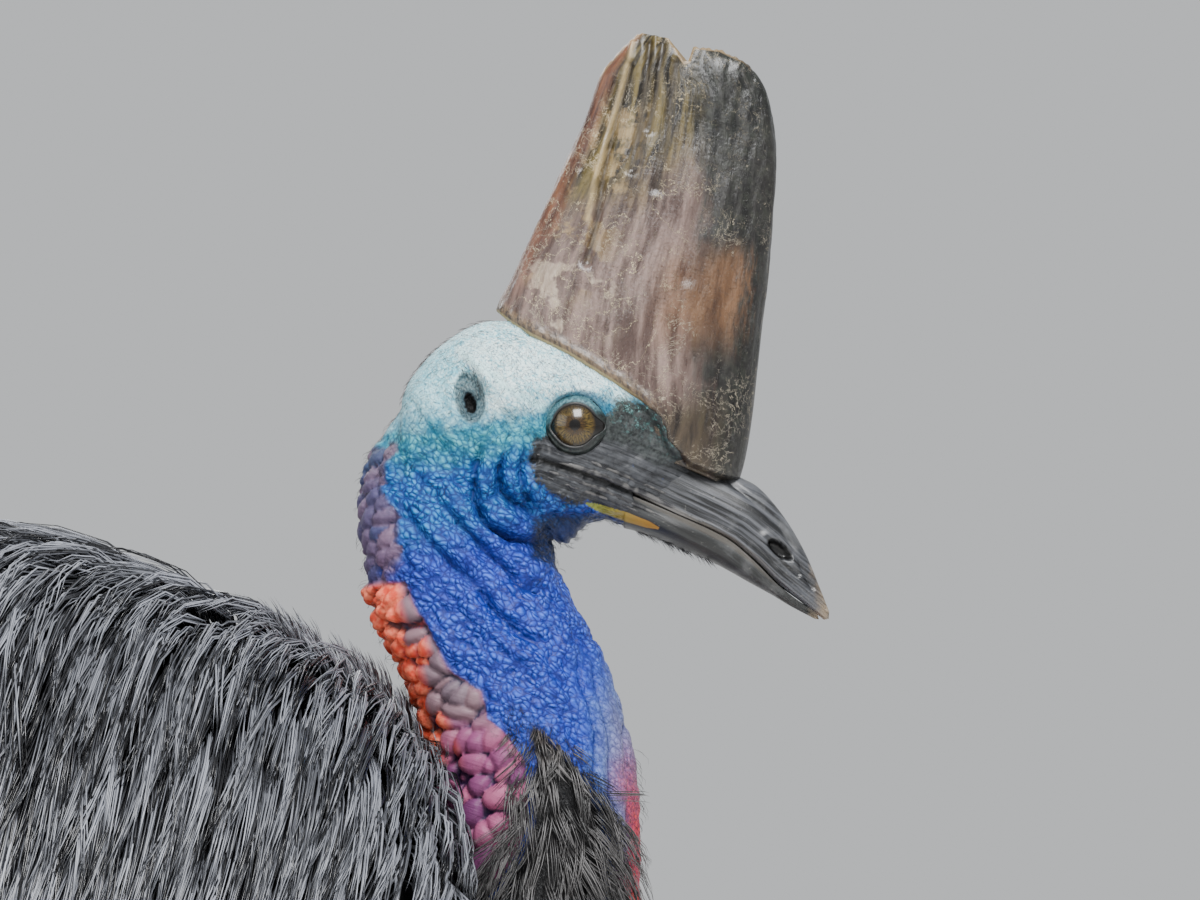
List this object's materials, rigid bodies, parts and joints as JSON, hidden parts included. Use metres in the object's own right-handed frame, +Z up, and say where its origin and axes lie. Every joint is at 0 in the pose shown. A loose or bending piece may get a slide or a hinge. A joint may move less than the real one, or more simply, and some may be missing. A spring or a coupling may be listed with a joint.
{
  "type": "southern cassowary",
  "caption": "Life-size standing cassowary with tall helmet casque, blue folded neck, red wattles, drooping dark hair-like plumage and strong scaled legs.",
  "frame": {"origin": "on the floor, under the middle of the whole bird's box", "axes": "+X the way the bird faces, +Y its left side, +Z up"},
  "size_m": [0.9678, 0.392, 1.17],
  "materials": {
    "skin_pale": "matte, bare pale turquoise skin of the head",
    "skin_blue": "matte, folded blue skin with orange caruncles",
    "casque_horn": "worn satin horn",
    "bill_horn": "satin grooved horn",
    "eye": "wet, glossy",
    "wattle": "wrinkled, matte",
    "plumage": "long hair-like feathers with a low sheen",
    "quill": "polished bare quills",
    "leg_scale": "scaled, matte",
    "claw": "satin horn"
  },
  "bodies": {
    "root": {"head": "skin_pale", "eye_right": "eye", "eye_left": "eye", "bill_upper": "bill_horn", "bill_lower": "bill_horn", "casque": "casque_horn", "neck_upper": "skin_blue", "neck_lower": "plumage", "wattle_right": "wattle", "wattle_left": "wattle", "torso": "plumage", "tail": "plumage", "wing_right": "quill", "wing_left": "quill", "thigh_right": "plumage", "shank_right": "leg_scale", "toe_middle_right": "leg_scale", "claw_middle_right": "claw", "toe_outer_right": "leg_scale", "claw_outer_right": "claw", "toe_inner_right": "leg_scale", "claw_inner_right": "claw", "thigh_left": "plumage", "shank_left": "leg_scale", "toe_middle_left": "leg_scale", "claw_middle_left": "claw", "toe_outer_left": "leg_scale", "claw_outer_left": "claw", "toe_inner_left": "leg_scale", "claw_inner_left": "claw"}
  },
  "joints": []
}
